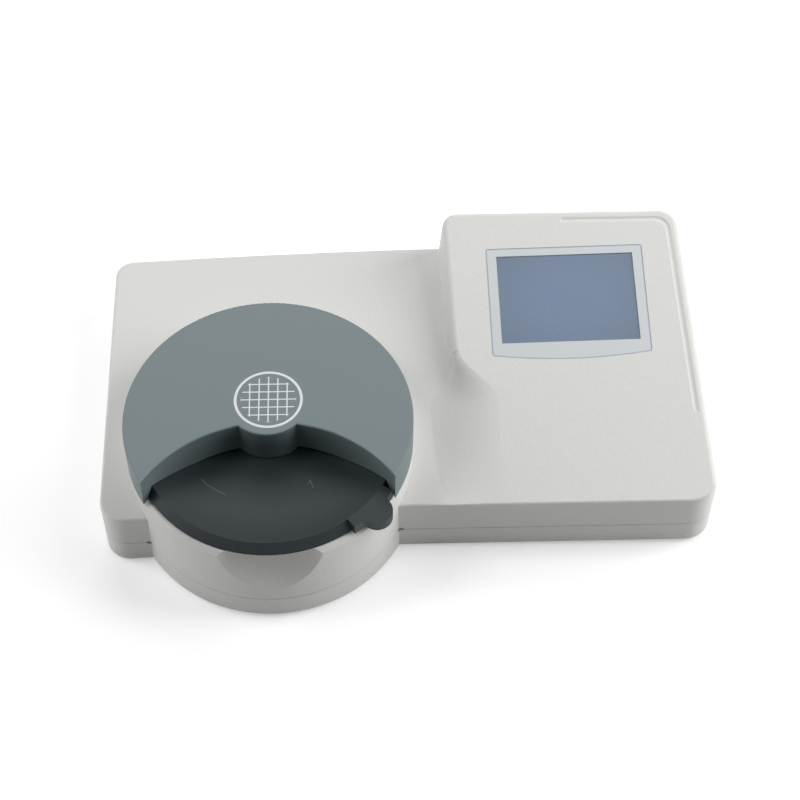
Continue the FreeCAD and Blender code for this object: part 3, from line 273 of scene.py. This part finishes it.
def overlay_finish():
    """Pale film with a thin border line, straight at three sides and bowed at the lowest."""
    t = Tree("overlay film")
    x, y = laid_coords(t)
    slow = t.noise(12.0, 2.0)
    fine = t.noise(1500.0, 2.0)
    base = t.mix(slow, (0.615, 0.645, 0.655, 1.0), (0.635, 0.665, 0.675, 1.0))
    from_middle = t.math("ABSOLUTE", x)
    bow = t.math("SUBTRACT", 1.0, t.math("POWER", t.math("DIVIDE", from_middle, BORDER_X), 2.0))
    low = t.math("SUBTRACT", BORDER_LOW, t.math("MULTIPLY", bow, BORDER_BOW))
    to_side = t.math("SUBTRACT", BORDER_X, from_middle)
    to_top = t.math("SUBTRACT", BORDER_TOP, y)
    to_low = t.math("SUBTRACT", y, low)
    to_edge = t.math("MINIMUM", to_side, t.math("MINIMUM", to_top, to_low))
    line = t.math("LESS_THAN", to_edge, BORDER_LINE)
    tone = t.mix(t.math("MULTIPLY", line, 0.7), base, (0.36, 0.44, 0.56, 1.0))
    return t.surface(Base_Color=tone, Roughness=t.ramp(slow, 0.3, 0.7, 0.34, 0.4),
                     Normal=t.bump(fine, 0.05, 0.0001))


def screen_finish():
    """Switched-off touch display, a little greyer and darker towards its edges."""
    t = Tree("touch screen")
    slow = t.noise(7.0, 2.0)
    fine = t.noise(1400.0, 1.0)
    x, y = laid_coords(t)
    u = t.math("DIVIDE", x, LCD_HALF[0])
    v = t.math("DIVIDE", y, LCD_HALF[1])
    outward = t.math("ADD", t.square(u), t.square(v))
    outward = t.math("ADD", outward, t.ramp(slow, 0.3, 0.7, -0.15, 0.15))
    tone = t.mix(t.ramp(outward, 0.1, 1.3, 0.0, 1.0), (0.178, 0.237, 0.353, 1.0), (0.158, 0.208, 0.285, 1.0))
    return t.surface(Base_Color=tone, Roughness=t.ramp(fine, 0.3, 0.7, 0.26, 0.34),
                     Normal=t.bump(fine, 0.03, 0.0001))


FINISHES = {
    "housing": moulded("housing plastic", (0.735, 0.733, 0.712, 1.0), 0.52, 0.05, 0.012),
    "cover": cover_finish(),
    "carousel": disc_finish(),
    "overlay": overlay_finish(),
    "panel_glass": screen_finish(),
    "display": moulded("display block", (0.16, 0.2, 0.27, 1.0), 0.4),
    "frame_metal": metal("frame steel", (0.55, 0.56, 0.57, 1.0), 0.35),
    "circuit_board": moulded("board laminate", (0.03, 0.16, 0.07, 1.0), 0.35),
    "screw_steel": metal("screw steel", (0.62, 0.62, 0.63, 1.0), 0.3),
    "bearing_bronze": metal("bearing bronze", (0.60, 0.42, 0.22, 1.0), 0.35),
    "black_plastic": moulded("black plastic", (0.03, 0.03, 0.032, 1.0), 0.4),
    "clear_lens": moulded("lens", (0.72, 0.76, 0.78, 1.0), 0.12),
    "can_aluminium": metal("can aluminium", (0.75, 0.75, 0.76, 1.0), 0.3),
    "plated_shell": metal("plated shell", (0.66, 0.66, 0.65, 1.0), 0.28),
    "foot_rubber": moulded("foot rubber", (0.03, 0.03, 0.03, 1.0), 0.75),
}


def dress(node, finish):
    node.data.materials.clear()
    node.data.materials.append(finish)
    for polygon in node.data.polygons:
        polygon.use_smooth = True
    node.data.set_sharp_from_angle(angle=SHARP_ANGLE)


for entry in frame["record"]["subparts"]:
    dress(NODES[entry["node"]], FINISHES[entry["material_slot"]])


# Bench top and room
def floor_finish():
    """White bench: lit by the scene, its clear parts brought up to white where they are seen directly."""
    t = Tree("bench top")
    tone = t.mix(t.noise(3.0, 2.0), (0.80, 0.80, 0.80, 1.0), (0.82, 0.82, 0.82, 1.0))
    diffuse = t.node("ShaderNodeBsdfDiffuse", {"Color": tone})
    glow = t.node("ShaderNodeEmission", {"Color": WHITE, "Strength": BENCH_GLOW})
    both = t.node("ShaderNodeAddShader", {0: diffuse.outputs[0], 1: glow.outputs[0]})
    inputs = {0: t.seen_directly(), 1: diffuse.outputs[0], 2: both.outputs[0]}
    return t.shaded(t.node("ShaderNodeMixShader", inputs))


def place_bench():
    bpy.ops.mesh.primitive_plane_add(size=BENCH_SIZE, location=(0, 0, 0))
    bench = bpy.context.object
    bench.name = "bench"
    bench.data.materials.append(floor_finish())


def light_room():
    """A faint even light from all sides, seen directly as plain white."""
    world = bpy.data.worlds.new("room")
    bpy.context.scene.world = world
    world.use_nodes = True
    tree = world.node_tree
    tree.nodes.clear()
    out = tree.nodes.new("ShaderNodeOutputWorld")
    mixed = tree.nodes.new("ShaderNodeMixShader")
    tree.links.new(seen_directly(tree), mixed.inputs[0])
    for slot, colour, strength in ((1, ROOM_COLOUR, ROOM_STRENGTH), (2, WHITE, 1.0)):
        backdrop = tree.nodes.new("ShaderNodeBackground")
        backdrop.inputs["Color"].default_value = colour
        backdrop.inputs["Strength"].default_value = strength
        tree.links.new(backdrop.outputs[0], mixed.inputs[slot])
    tree.links.new(mixed.outputs[0], out.inputs["Surface"])


def hang_panel(name, place, width, height, power):
    data = bpy.data.lights.new(name, "AREA")
    data.shape = "RECTANGLE"
    data.size = width
    data.size_y = height
    data.energy = power
    panel = bpy.data.objects.new(name, data)
    bpy.context.scene.collection.objects.link(panel)
    panel.location = place
    panel.rotation_mode = "QUATERNION"
    panel.rotation_quaternion = (Vector(PANELS_AIM) - Vector(place)).to_track_quat("-Z", "Y")


def place_camera():
    pitch, yaw, roll = CAMERA_PITCH, CAMERA_YAW, CAMERA_ROLL
    ahead = Vector((math.sin(yaw) * math.cos(pitch), math.cos(yaw) * math.cos(pitch), -math.sin(pitch)))
    side = Vector((math.cos(yaw), -math.sin(yaw), 0.0))
    down = ahead.cross(side)
    right = side * math.cos(roll) + down * math.sin(roll)
    lower = down * math.cos(roll) - side * math.sin(roll)
    data = bpy.data.cameras.new("camera")
    data.sensor_width = CAMERA_SENSOR
    data.lens = CAMERA_LENS
    data.clip_end = CAMERA_FAR
    camera = bpy.data.objects.new("camera", data)
    bpy.context.scene.collection.objects.link(camera)
    turn = Matrix((right, -lower, -ahead)).transposed().to_4x4()
    camera.matrix_world = Matrix.Translation(CAMERA_AT) @ turn
    bpy.context.scene.camera = camera


place_bench()
light_room()
for panel in PANELS:
    hang_panel(*panel)
place_camera()
bpy.context.scene.view_settings.view_transform = "Standard"
